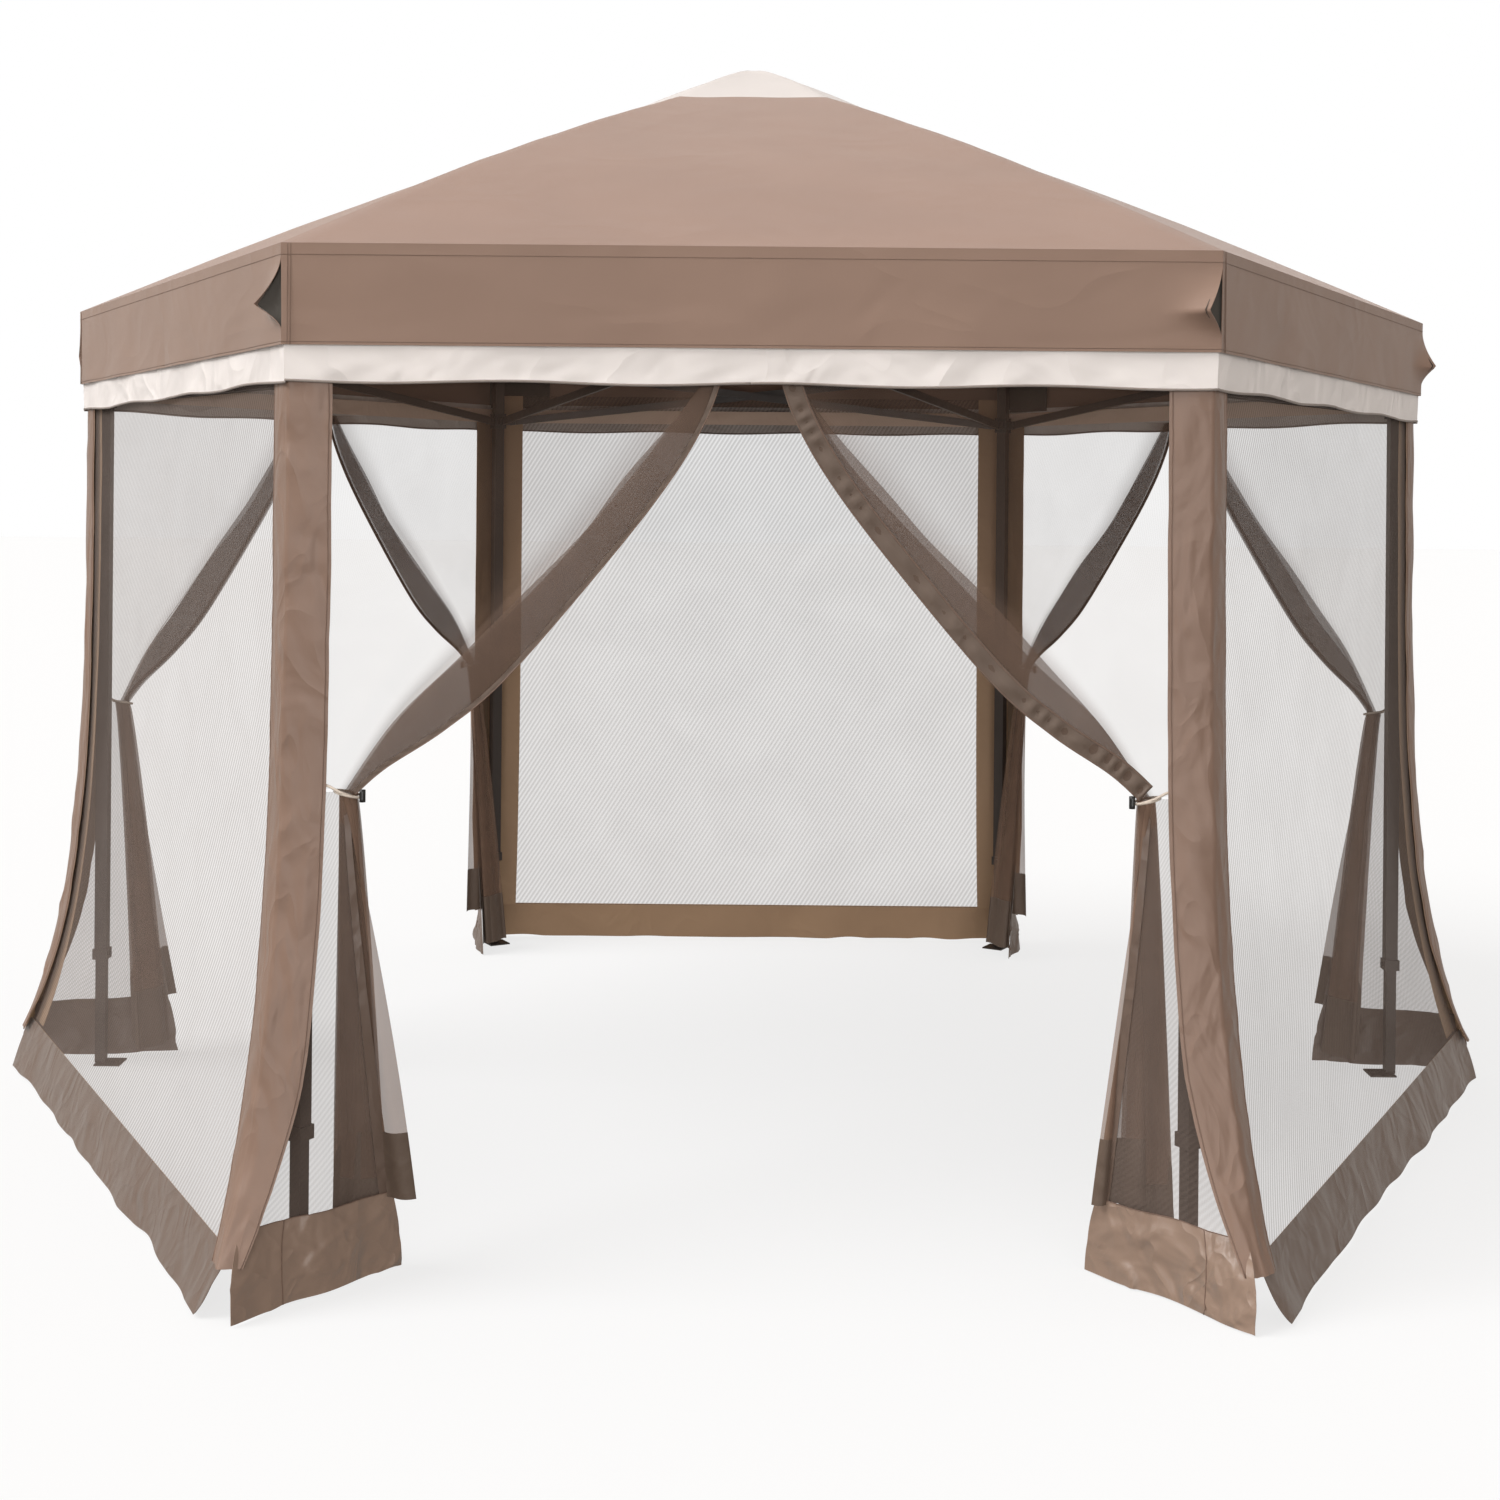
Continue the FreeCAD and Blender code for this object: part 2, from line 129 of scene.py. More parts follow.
class Shader:
    """A Principled material with a few short ways to add procedural detail."""

    def __init__(self, name, colour, roughness, sheen=0.0, metallic=0.0):
        self.material = bpy.data.materials.new(name)
        self.material.use_nodes = True
        self.tree = self.material.node_tree
        self.bsdf = self.tree.nodes["Principled BSDF"]
        self.colour = colour
        self.bsdf.inputs["Base Color"].default_value = (*colour, 1)
        self.bsdf.inputs["Roughness"].default_value = roughness
        self.bsdf.inputs["Metallic"].default_value = metallic
        self.bsdf.inputs["Sheen Weight"].default_value = sheen
        self.bsdf.inputs["Sheen Roughness"].default_value = 0.4
        self.place = self.tree.nodes.new("ShaderNodeTexCoord").outputs["Object"]
        flat = self.tree.nodes.new("ShaderNodeAttribute")
        flat.attribute_name = "flat"
        self.flat = flat.outputs["Vector"]
        self.normal = None

    def put(self, socket, value):
        if isinstance(value, bpy.types.NodeSocket):
            self.tree.links.new(value, socket)
        else:
            socket.default_value = value

    def maths(self, operation, first, second=0.0):
        node = self.tree.nodes.new("ShaderNodeMath")
        node.operation = operation
        self.put(node.inputs[0], first)
        self.put(node.inputs[1], second)
        return node.outputs[0]

    def noise(self, scale, detail=3.0, distortion=0.0, stretch=None):
        node = self.tree.nodes.new("ShaderNodeTexNoise")
        node.inputs["Scale"].default_value = scale
        node.inputs["Detail"].default_value = detail
        node.inputs["Distortion"].default_value = distortion
        place = self.place
        if stretch:
            scaled = self.tree.nodes.new("ShaderNodeVectorMath")
            scaled.operation = "MULTIPLY"
            self.put(scaled.inputs[0], place)
            scaled.inputs[1].default_value = stretch
            place = scaled.outputs["Vector"]
        self.put(node.inputs["Vector"], place)
        return node.outputs["Fac"]

    def ridges(self, scale, detail=2.0, distortion=0.6, stretch=None):
        """Sharp creases: bright lines where the noise crosses its middle."""
        middle = self.maths("SUBTRACT", self.noise(scale, detail, distortion, stretch), 0.5)
        away = self.maths("MULTIPLY", self.maths("ABSOLUTE", middle), CREASE_SHARPNESS)
        return self.maths("SUBTRACT", 1.0, away)

    def wave(self, direction, period):
        """Sine of the flat cloth's place along a direction, from 0 to 1."""
        node = self.tree.nodes.new("ShaderNodeVectorMath")
        node.operation = "DOT_PRODUCT"
        self.put(node.inputs[0], self.flat)
        turn = 2 * math.pi / period
        node.inputs[1].default_value = (direction[0] * turn, direction[1] * turn, 0)
        sine = self.maths("SINE", node.outputs["Value"])
        return self.maths("MULTIPLY_ADD", sine, 0.5)

    def bump(self, height, distance, strength=1.0):
        node = self.tree.nodes.new("ShaderNodeBump")
        node.inputs["Distance"].default_value = distance
        node.inputs["Strength"].default_value = strength
        self.put(node.inputs["Height"], height)
        if self.normal is not None:
            self.put(node.inputs["Normal"], self.normal)
        self.normal = node.outputs["Normal"]
        self.put(self.bsdf.inputs["Normal"], self.normal)

    def mottle(self, fac, darkest, lightest):
        """Base colour between two multiples of the plain colour."""
        node = self.tree.nodes.new("ShaderNodeMix")
        node.data_type = "RGBA"
        self.put(node.inputs["Factor"], fac)
        node.inputs["A"].default_value = (*[part * darkest for part in self.colour], 1)
        node.inputs["B"].default_value = (*[part * lightest for part in self.colour], 1)
        self.put(self.bsdf.inputs["Base Color"], node.outputs["Result"])


YARN = 0.0016
MESH = 0.0024
HATCH_WAY = (0.848, -0.53)


def woven(name, colour, roughness=0.6, sheen=0.25, crease=5.0, depth=0.004, stretch=None):
    """Coated polyester: plain weave, soft crumples, sharp creases and slight changes of shade."""
    shader = Shader(name, colour, roughness, sheen)
    shader.mottle(shader.noise(3.5, 4.0, 0.4), 0.90, 1.08)
    shader.bump(shader.noise(crease, 2.0, 1.2, stretch), depth, 0.7)
    shader.bump(shader.ridges(crease * 1.3, 1.5, 0.8, stretch), depth * 0.22, 0.7)
    weave = shader.maths("MULTIPLY", shader.wave((1, 0), YARN), shader.wave((0, 1), YARN))
    shader.bump(weave, 0.00025, 0.5)
    return shader.material


def netting(name, colour, cover, hatch=0.0, gather=0.0, period=0.0125):
    """Fine mosquito net. Faint slanting lines are the hatch, and the third part of the cloth's
    flat place says how much it gathers, so that it hides more there."""
    shader = Shader(name, colour, 0.75, 0.1)
    shader.mottle(shader.noise(18.0, 2.0), 0.85, 1.1)
    see = shader.maths("MULTIPLY_ADD", shader.noise(5.0, 3.0, 0.5), 0.10)
    see.node.inputs[2].default_value = cover - 0.05
    if hatch:
        lines = shader.maths("MULTIPLY", shader.wave(HATCH_WAY, period), hatch)
        see = shader.maths("ADD", shader.maths("SUBTRACT", see, hatch / 2), lines)
    if gather:
        split = shader.tree.nodes.new("ShaderNodeSeparateXYZ")
        shader.put(split.inputs[0], shader.flat)
        see = shader.maths("ADD", see, shader.maths("MULTIPLY", split.outputs["Z"], gather))
    grain = shader.maths("MULTIPLY", shader.wave((1, 0), MESH), shader.wave((0, 1), MESH))
    see = shader.maths("ADD", see, shader.maths("MULTIPLY", grain, 0.06))
    shader.put(shader.bsdf.inputs["Alpha"], see)
    return shader.material


def coated_metal(name, colour):
    """Powder-coated tube: orange-peel grain and rubbed patches."""
    shader = Shader(name, colour, 0.42)
    shader.mottle(shader.noise(9.0, 5.0), 0.75, 1.35)
    shader.put(
        shader.bsdf.inputs["Roughness"],
        shader.maths("MULTIPLY_ADD", shader.noise(30.0, 4.0), 0.3),
    )
    shader.bsdf.inputs["Roughness"].links[0].from_node.inputs[2].default_value = 0.28
    shader.bump(shader.noise(420.0, 2.0), 0.0003, 0.4)
    return shader.material


def moulded(name, colour, roughness):
    """Moulded plastic with a fine spark-eroded grain."""
    shader = Shader(name, colour, roughness)
    shader.mottle(shader.noise(25.0, 3.0), 0.85, 1.15)
    shader.bump(shader.noise(900.0, 2.0), 0.0002, 0.5)
    return shader.material


def braided(name, colour):
    """Thin braided cord."""
    shader = Shader(name, colour, 0.8, 0.3)
    shader.mottle(shader.noise(300.0, 2.0), 0.75, 1.1)
    shader.bump(shader.noise(700.0, 2.0), 0.0004, 0.7)
    return shader.material


BROWN = (0.280, 0.178, 0.136)
ROOF = woven("brown_roof_cloth", BROWN, roughness=0.62, sheen=0.25, crease=2.2, depth=0.006)
# The valance is the roof's cloth in a darker colour: painted shade for its steep sides, which the
# light from above reaches less.
VALANCE = woven(
    "valance_cloth_painted_shade", (0.245, 0.155, 0.112),
    roughness=0.62, sheen=0.25, crease=2.2, depth=0.009, stretch=(1.0, 1.0, 2.0),
)
STRIP = woven(
    "brown_strip_cloth", (0.212, 0.132, 0.094),
    roughness=0.45, sheen=0.15, crease=5.0, depth=0.016, stretch=(1.6, 1.6, 0.9),
)
# The top tape is the brown cloth made much lighter: painted light, since the tape is seen in the
# shade inside the tent.
TAPE = woven(
    "brown_tape_painted_light", (0.66, 0.50, 0.40),
    roughness=0.6, sheen=0.1, crease=6.0, depth=0.008,
)
CURTAIN_TAPE = woven(
    "brown_curtain_tape", (0.115, 0.078, 0.056),
    roughness=0.6, sheen=0.1, crease=6.0, depth=0.010,
)
SKIRT = woven(
    "brown_skirt_satin", (0.135, 0.092, 0.070),
    roughness=0.34, sheen=0.25, crease=6.0, depth=0.016,
)
# A lighter copy of the skirt satin, for the front doorway's hems only: painted sheen, as these hems
# face away from the key light.
HEM_PAINTED_SHEEN = woven(
    "hem_satin_painted_sheen", (0.255, 0.175, 0.130),
    roughness=0.34, sheen=0.3, crease=6.5, depth=0.034,
)
# A lighter copy of the brown cloth for faces that look into the tent: painted light against the
# shade inside.
INSIDE = woven(
    "inside_cloth_painted_light", (0.345, 0.220, 0.130),
    roughness=0.7, sheen=0.2, crease=5.0, depth=0.010,
)
CREAM = woven(
    "cream_band_cloth", (0.745, 0.70, 0.675),
    roughness=0.5, sheen=0.2, crease=4.0, depth=0.026,
)
VENT = woven(
    "pale_vent_cloth", (0.60, 0.56, 0.54),
    roughness=0.6, sheen=0.2, crease=3.0, depth=0.004,
)
# Near-black cloth: painted shade for the corner slits of the valance, where the shaded inside of
# the tent shows.
SLIT_SHADE_CLOTH = woven(
    "painted_slit_shade_cloth", (0.055, 0.048, 0.040),
    roughness=0.8, sheen=0.1, crease=12.0, depth=0.006,
)
PIPING = woven(
    "grey_piping", (0.26, 0.22, 0.195),
    roughness=0.6, sheen=0.1, crease=30.0, depth=0.002,
)
SEAM = woven("dark_seam", (0.17, 0.105, 0.075), roughness=0.7, sheen=0.1, crease=30.0, depth=0.002)
NET = netting("wall_net", (0.205, 0.155, 0.130), cover=0.33, hatch=0.22)
LEG_NET = netting("leg_panel_net", (0.205, 0.155, 0.130), cover=0.33, hatch=0.09, period=0.0085)
# One net in two colours: the upper curtain's is darkened and the tail's, which hangs in shade, kept
# lighter; the difference is painted light and shade.
CURTAIN_NET = netting("curtain_net", (0.160, 0.100, 0.070), cover=0.13, gather=0.30)
TAIL_NET = netting("tail_net", (0.23, 0.140, 0.095), cover=0.13, gather=0.30)
METAL = coated_metal("dark_coated_metal", (0.040, 0.030, 0.025))
PLASTIC = moulded("dark_moulded_plastic", (0.028, 0.026, 0.025), 0.5)
KNOB = moulded("knob_plastic", (0.012, 0.012, 0.012), 0.35)
CORD = braided("pale_cord", (0.60, 0.52, 0.44))


# ---------------------------------------------------------------- geometry

class Half:
    """Half of one side, from its middle (along = 0) to a leg. end is -1 or 1."""

    def __init__(self, side, end):
        first, second = (math.radians(240 + 60 * (side - 1 + step)) for step in (0, 1))
        start = Vector((math.cos(first), math.sin(first), 0))
        stop = Vector((math.cos(second), math.sin(second), 0))
        self.along = (stop - start).normalized()
        self.out = self.along.cross(UP)
        self.toward = self.along * end
        self.end = end
        self.side = side
        self.leg = side if end < 0 else side % 6 + 1
        self.body = f"leg_{self.leg}"
        self.is_door = side % 2 == 1
        self.name = f"{side}{'a' if end < 0 else 'b'}"

    def point(self, apothem, along, height):
        return self.out * apothem + self.toward * along + UP * height

    def flat(self, along, height, gather=0.0):
        """Place in the side's own plane, seen from the front, which runs on across both halves."""
        seen = 1 if self.out.y < 0.1 else -1
        return Vector((along * self.end * seen, height, gather))

    def fold(self, piece, still_along=NET_A * TAN30, keep=WALL_KEEP):
        """Gives the piece its own copy of its mesh."""
        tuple(self.toward)
        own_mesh(piece)


HALVES = [Half(side, end) for side in SIDES for end in (-1, 1)]


def corner_along(apothem):
    return apothem * TAN30


def rough(place, scale, seed=0.0):
    return noise.noise(Vector(place) * scale + Vector((seed, seed * 1.7, seed * 0.6)))


def fold_line(place, scale):
    """Sharp crease, 1 along its line and 0 away from it."""
    return max(0.0, 1 - CREASE_SHARPNESS * abs(rough(place, scale, 11.0)))


def wall_apothem(height, leg):
    """The net walls hang straight, then lean out towards the floor, except at the back legs."""
    down = max(0.0, NET_TOP_Z - height) / NET_TOP_Z
    lean = BACK_LEAN if leg in BACK_LEGS else NET_LEAN
    return NET_A + lean * down ** NET_LEAN_POWER


def mesh_piece(name, points, faces, material, smooth=True):
    mesh = bpy.data.meshes.new(name)
    mesh.from_pydata([tuple(point) for point in points], [], faces)
    mesh.materials.append(material)
    mesh.polygons.foreach_set("use_smooth", [smooth] * len(mesh.polygons))
    mesh.update()
    piece = bpy.data.objects.new(name, mesh)
    bpy.context.scene.collection.objects.link(piece)
    return piece


def cloth(name, surface, columns, rows, material, flat=None, thickness=CLOTH):
    """Sheet from surface(s, v), s and v from 0 to 1: a thin closed shell, open if thickness is 0.

    The surface is sampled one step past each edge, so that its shading runs on across seams.
    """
    grid = np.array([
        [tuple(surface(i / columns, j / rows)) for i in range(-1, columns + 2)]
        for j in range(-1, rows + 2)
    ])
    across = grid[1:-1, 2:] - grid[1:-1, :-2]
    down = grid[2:, 1:-1] - grid[:-2, 1:-1]
    normals = np.cross(across, down)
    lengths = np.linalg.norm(normals, axis=2, keepdims=True)
    normals = normals / np.maximum(lengths, 1e-12)
    middle = grid[1:-1, 1:-1].reshape(-1, 3)
    normals = normals.reshape(-1, 3)
    wide = columns + 1
    count = len(middle)
    top = [
        (j * wide + i, j * wide + i + 1, (j + 1) * wide + i + 1, (j + 1) * wide + i)
        for j in range(rows) for i in range(columns)
    ]
    if thickness:
        lift = normals * thickness / 2
        points = np.concatenate([middle + lift, middle - lift])
        under = [tuple(count + index for index in reversed(face)) for face in top]
        rim = (
            [j * wide for j in range(rows + 1)]
            + [rows * wide + i for i in range(1, columns + 1)]
            + [j * wide + columns for j in range(rows - 1, -1, -1)]
            + [i for i in range(columns - 1, 0, -1)]
        )
        edges = [
            (a, b, count + b, count + a) for a, b in zip(rim, rim[1:] + rim[:1])
        ]
        faces = top + under + edges
    else:
        points = middle
        faces = top
    piece = mesh_piece(name, points, faces, material)
    mesh = piece.data
    loop_normals = []
    for index, face in enumerate(mesh.polygons):
        for vertex in face.vertices:
            if index < len(top):
                loop_normals.append(normals[vertex])
            elif index < 2 * len(top):
                loop_normals.append(-normals[vertex - count])
            else:
                loop_normals.append(face.normal)
    mesh.normals_split_custom_set([tuple(normal) for normal in loop_normals])
    if flat is not None:
        places = [flat(i / columns, j / rows) for j in range(rows + 1) for i in range(columns + 1)]
        places = places * (2 if thickness else 1)
        layer = mesh.attributes.new("flat", "FLOAT_VECTOR", "POINT")
        layer.data.foreach_set("vector", np.array([tuple(place) for place in places]).ravel())
    return piece


def line_inside(piece, out, material):
    """Gives a cloth shell a second material on the faces that look into the room; the script passes
    the lighter inside cloth, painted light against the shade there.
    """
    piece.data.materials.append(material)
    for face in piece.data.polygons:
        if face.normal.dot(out) < 0:
            face.material_index = 1


def tube(name, path, radius, material, sides=8, closed=False):
    """Round tube along a list of points."""
    path = [Vector(point) for point in path]
    count = len(path)
    points = []
    faces = []
    side_way = None
    for index, centre in enumerate(path):
        before = path[index - 1] if closed or index else path[0]
        after = path[(index + 1) % count] if closed or index < count - 1 else path[-1]
        ahead = (after - before).normalized()
        if side_way is None:
            side_way = ahead.orthogonal().normalized()
        side_way = (side_way - ahead * side_way.dot(ahead)).normalized()
        other = ahead.cross(side_way)
        for step in range(sides):
            turn = 2 * math.pi * step / sides
            points.append(centre + (side_way * math.cos(turn) + other * math.sin(turn)) * radius)
    rings = count if closed else count - 1
    for ring in range(rings):
        low, high = ring * sides, (ring + 1) % count * sides
        for step in range(sides):
            after = (step + 1) % sides
            faces.append((low + step, low + after, high + after, high + step))
    if not closed:
        faces.append(tuple(range(sides - 1, -1, -1)))
        faces.append(tuple((count - 1) * sides + step for step in range(sides)))
    return mesh_piece(name, points, faces, material)


def joined(name, pieces):
    """One piece from several meshes, which keep their materials."""
    for other in bpy.context.selected_objects:
        other.select_set(False)
    for piece in pieces:
        piece.select_set(True)
    bpy.context.view_layer.objects.active = pieces[0]
    if len(pieces) > 1:
        bpy.ops.object.join()
    pieces[0].name = name
    return pieces[0]


# ---------------------------------------------------------------- roof

STRIP_ANGLE = 10
CONE_START = 0.004
ROOF_SWELL = 0.030
VENT_SWELL = 0.012
GORE_SAG = 0.004


def roof_place(angle, share, peak, eave, eave_apothem, swell, sag):
    """Point of a six-sided cone at an angle in degrees, a share of the way down."""
    from_middle = (angle + 30) % 60 - 30
    turn = math.radians(from_middle)
    apothem = share * eave_apothem
    radius = apothem / math.cos(turn)
    sideways = math.tan(turn) / TAN30
    height = peak + (eave - peak) * share
    arch = math.sin(math.pi * min(max(share, 0.0), 1.0))
    height += swell * arch - sag * arch * (1 - sideways ** 2)
    way = math.radians(angle - 90)
    return Vector((radius * math.cos(way), radius * math.sin(way), height))


def roof_surface(angle, share):
    place = roof_place(angle, share, PEAK_Z, EAVE_Z, EAVE_A, ROOF_SWELL, GORE_SAG)
    pull = share * (1 - share) * 4
    place.z += 0.004 * pull * rough(place, 2.3, 3.0) + 0.0015 * pull * rough(place, 9.0, 8.0)
    return place


def vent_surface(angle, share):
    apothem = VENT_R * math.cos(math.radians(30))
    place = roof_place(angle, share, VENT_PEAK_Z, VENT_Z, apothem, VENT_SWELL, GORE_SAG)
    place.z -= 0.010 * max(0.0, 1 - share * 7) ** 2
    return place


def cone_strips(name, surface, material, node, radius, rows, columns):
    """Narrow radial strips of one cone, each attached to the hub."""
    for index in range(360 // STRIP_ANGLE):
        start = index * STRIP_ANGLE

        def place(s, v, start=start):
            share = CONE_START + (1 - CONE_START) * v
            return surface(start + STRIP_ANGLE * s, share)

        def flat(s, v, start=start):
            way = math.radians(start + STRIP_ANGLE * s)
            return Vector((radius * v * math.sin(way), radius * v * math.cos(way), 0))

        piece = cloth(f"{name}_{index:02d}", place, columns, rows, material, flat)
        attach(piece, "hub")
        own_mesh(piece)
        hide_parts(node)


cone_strips(
    "roof_cloth", roof_surface, ROOF, "canopy_roof", EAVE_R,
    rows=44, columns=8,
)
cone_strips(
    "vent_cloth", vent_surface, VENT, "vent_cap", VENT_R,
    rows=14, columns=3,
)


# ---------------------------------------------------------------- valance

SLIT_LOW = 1.876
SLIT_TIP = 1.925
SLIT_HIGH = 2.020
SLIT_WIDTH = 0.034
SLIT_LIFT = 0.046
SLIT_REACH = 0.14
SLIT_MARGIN = 0.008
VALANCE_INSET = 0.003
VALANCE_SEAM = 0.0007
SLIT_SHEET_INSET = 0.006
BACKING_INSET = 0.010
BACKING_OVERLAP = 0.006
BACKING_WIDTH = 0.21
BACKING_TOP_Z = 2.030
BACKING_FOOT_Z = 1.858


def slit(height):
    """How far the slit is open, from 0 to 1, at a height; its edge comes to a point."""
    if height > SLIT_TIP:
        share = (SLIT_HIGH - height) / (SLIT_HIGH - SLIT_TIP)
    else:
        share = (height - SLIT_LOW) / (SLIT_TIP - SLIT_LOW)
    return max(0.0, share) ** 1.7


def valance_edge(half, height):
    """The end of the valance at its corner, where the cloth curls out beside the slit."""
    apothem = EAVE_A - VALANCE_INSET
    away = half.toward * (-SLIT_WIDTH) + half.out * SLIT_LIFT
    return half.point(apothem, corner_along(apothem), height) + away * slit(height)


def valance(half):
    has_slit = half.end > 0

    def place(s, v):
        height = EAVE_Z + (VALANCE_Z - EAVE_Z) * v
        apothem = EAVE_A - VALANCE_INSET * v
        end = corner_along(apothem)
        along = end * (1 - max(0.0, 1 - s) ** 1.6) if s <= 1 else end * s
        centre = half.point(apothem, along, height)
        wave = 0.0035 * rough((along * half.end, height * 2.0, half.side * 3.0), 3.0)
        wave += 0.002 * math.sin(along * 17 + half.side) * v
        centre += half.out * wave * min(1.0, 2 * v) * min(1.0, 8 * abs(end - along))
        if has_slit:
            near = max(0.0, 1 - (end - along) / SLIT_REACH) ** 2.2
            centre += (half.toward * (-SLIT_WIDTH) + half.out * SLIT_LIFT) * slit(height) * near
        return centre

    piece = cloth(
        f"valance_{half.name}", place, columns=44, rows=30, material=VALANCE,
        flat=lambda s, v: half.flat(s * corner_along(EAVE_A), EAVE_Z - 0.2 * v),
    )
    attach(piece, half.body)
    corner = half.point(EAVE_A, corner_along(EAVE_A), 0)
    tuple(half.toward)
    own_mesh(piece)
    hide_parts("canopy_roof")

    def seam_line(inset, low, high, steps=40):
        points = []
        for step in range(steps + 1):
            height = low + (high - low) * step / steps
            points.append(half.point(EAVE_A + 0.0006, corner_along(EAVE_A) - inset, height))
        return tube("seam", points, VALANCE_SEAM, SEAM, sides=6)

    def edge_line(down, steps=44):
        v = down / (EAVE_Z - VALANCE_Z)
        points = [place(step / steps, v) + half.out * 0.0008 for step in range(steps + 1)]
        return tube("seam", points, VALANCE_SEAM, SEAM, sides=6)

    seams = [edge_line(0.022), edge_line(EAVE_Z - VALANCE_Z - 0.006)]
    if not has_slit:
        seams += [seam_line(inset, VALANCE_Z, EAVE_Z) for inset in (0.013, 0.019)]
    whole = joined(f"valance_stitching_{half.name}", seams)
    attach(whole, half.body)
    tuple(half.toward)
    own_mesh(whole)


def slit_shade_sheet(half):
    """Near-black sheet that fills the slit, from the corner to the curled edge of the valance:
    painted shade where the open slit shows the inside.
    """
    corner_apothem = EAVE_A - SLIT_SHEET_INSET

    def place(s, v):
        height = SLIT_HIGH + SLIT_MARGIN + (SLIT_LOW - SLIT_HIGH - 2 * SLIT_MARGIN) * v
        fixed = half.point(corner_apothem, corner_along(corner_apothem) - 0.002, height)
        edge = valance_edge(half, height) - half.out * 0.003 - half.toward * 0.008
        share = min(max(s, 0.0), 1.0)
        sag = (half.out * -0.006 + half.toward * -0.004) * math.sin(math.pi * share) * slit(height)
        return edge.lerp(fixed, s) + sag

    piece = cloth(
        f"slit_shade_sheet_{half.leg}", place, columns=8, rows=24, material=SLIT_SHADE_CLOTH,
        flat=lambda s, v: Vector((s * 0.06, v * 0.15, 0)),
    )
    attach(piece, half.body)


def slit_shade_backing(half):
    """Near-black sheet flat inside the valance, behind the slit: painted shade that shows through
    the slit.
    """
    apothem = EAVE_A - BACKING_INSET
    end = corner_along(apothem) + BACKING_OVERLAP

    def place(s, v):
        height = BACKING_TOP_Z + (BACKING_FOOT_Z - BACKING_TOP_Z) * v
        return half.point(apothem, end - BACKING_WIDTH * (1 - s), height)

    piece = cloth(
        f"slit_shade_backing_{half.leg}", place, columns=6, rows=6, material=SLIT_SHADE_CLOTH,
        flat=lambda s, v: Vector((s * BACKING_WIDTH, v * 0.17, 0)),
    )
    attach(piece, half.body)
    corner = half.point(EAVE_A, corner_along(EAVE_A), 0)
    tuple(half.toward)
    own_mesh(piece)


for half in HALVES:
    valance(half)
    if half.end > 0:
        slit_shade_sheet(half)
        slit_shade_backing(half)


# ---------------------------------------------------------------- walls

BAND_COLUMNS = 60


def cream_band(half):
    """Cream band at the top of the net walls, with a piping along its lower edge."""
    def place(s, v):
        height = BAND_HIGH_Z + (BAND_LOW_Z - BAND_HIGH_Z) * v
        height += 0.003 * math.sin(half.end * s * 11 + half.side) * v
        apothem = NET_A + BAND_OUT - 0.003 * v
        along = corner_along(apothem) * s
        spot = (along * half.end - height * 1.5, height * 1.5, half.side * 5.0)
        wave = 0.005 * rough(spot, 6.0) + 0.0025 * rough(spot, 17.0)
        return half.point(apothem + wave * min(1.0, 9 * abs(1 - s)) * v, along, height)

    piece = cloth(
        f"cream_band_{half.name}", place, columns=BAND_COLUMNS, rows=10, material=CREAM,
        flat=lambda s, v: half.flat(s * corner_along(NET_A), -0.09 * v),
    )
    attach(piece, half.body)
    half.fold(piece)
    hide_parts(f"net_panel_{half.leg}")
    line = [place(step / BAND_COLUMNS, 1.0) for step in range(BAND_COLUMNS + 1)]
    edge = tube(f"band_piping_{half.name}", line, CORD_RADIUS, PIPING)
    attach(edge, half.body)
    half.fold(edge)


def top_tape(half):
    """Brown tape inside the top of the net, which shows from the far side; its colour is lightened
    as painted light, since it is seen in shade.
    """
    def place(s, v):
        height = TAPE_TOP_Z - TAPE_WIDTH * v
        apothem = NET_A - TAPE_INSET
        along = corner_along(apothem) * s
        wave = 0.0015 * rough((along, height, half.side), 12.0)
        return half.point(apothem + wave, along, height)

    piece = cloth(
        f"top_tape_{half.name}", place, columns=24, rows=4, material=TAPE,
        flat=lambda s, v: half.flat(s * corner_along(NET_A), 0.05 * v),
    )
    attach(piece, half.body)
    half.fold(piece)


def closed_wall(half):
    """Half of a closed net wall, which billows a little between its edges."""
    def place(s, v):
        height = NET_TOP_Z + (SKIRT_Z - NET_TOP_Z) * v
        apothem = wall_apothem(height, half.leg)
        along = corner_along(apothem) * s
        spot = (along * half.end, height * 0.6, half.side * 4.0)
        billow = 0.010 * rough(spot, 1.3) + 0.003 * rough(spot, 6.0)
        pull = math.sin(math.pi * min(max(v, 0.0), 1.0)) * min(1.0, 6 * abs(1 - s))
        return half.point(apothem + billow * pull, along, height)

    piece = cloth(
        f"closed_net_{half.name}", place, columns=24, rows=40, material=NET,
        flat=lambda s, v: half.flat(s * corner_along(NET_A), NET_TOP_Z - (NET_TOP_Z - SKIRT_Z) * v),
        thickness=0,
    )
    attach(piece, half.body)
    half.fold(piece)
    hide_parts(f"net_panel_{half.leg}")


def wall_border(half):
    """Brown tape sewn up the inside of a closed wall, beside its leg, in the lighter inside cloth:
    painted light against the shade inside.
    """
    def place(s, v):
        height = NET_TOP_Z + (SKIRT_Z - NET_TOP_Z) * v
        apothem = wall_apothem(height, half.leg) - BORDER_INSET
        along = corner_along(apothem) - 0.001 - BORDER_WIDTH * (1 - s)
        crease = 0.002 * rough((along * 8, height * 5, half.side), 1.0)
        return half.point(apothem + crease, along, height)

    piece = cloth(
        f"wall_border_{half.name}", place, columns=8, rows=60, material=INSIDE,
        flat=lambda s, v: Vector((s * BORDER_WIDTH, v * 1.8, 0)),
    )
    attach(piece, half.body)
    half.fold(piece)


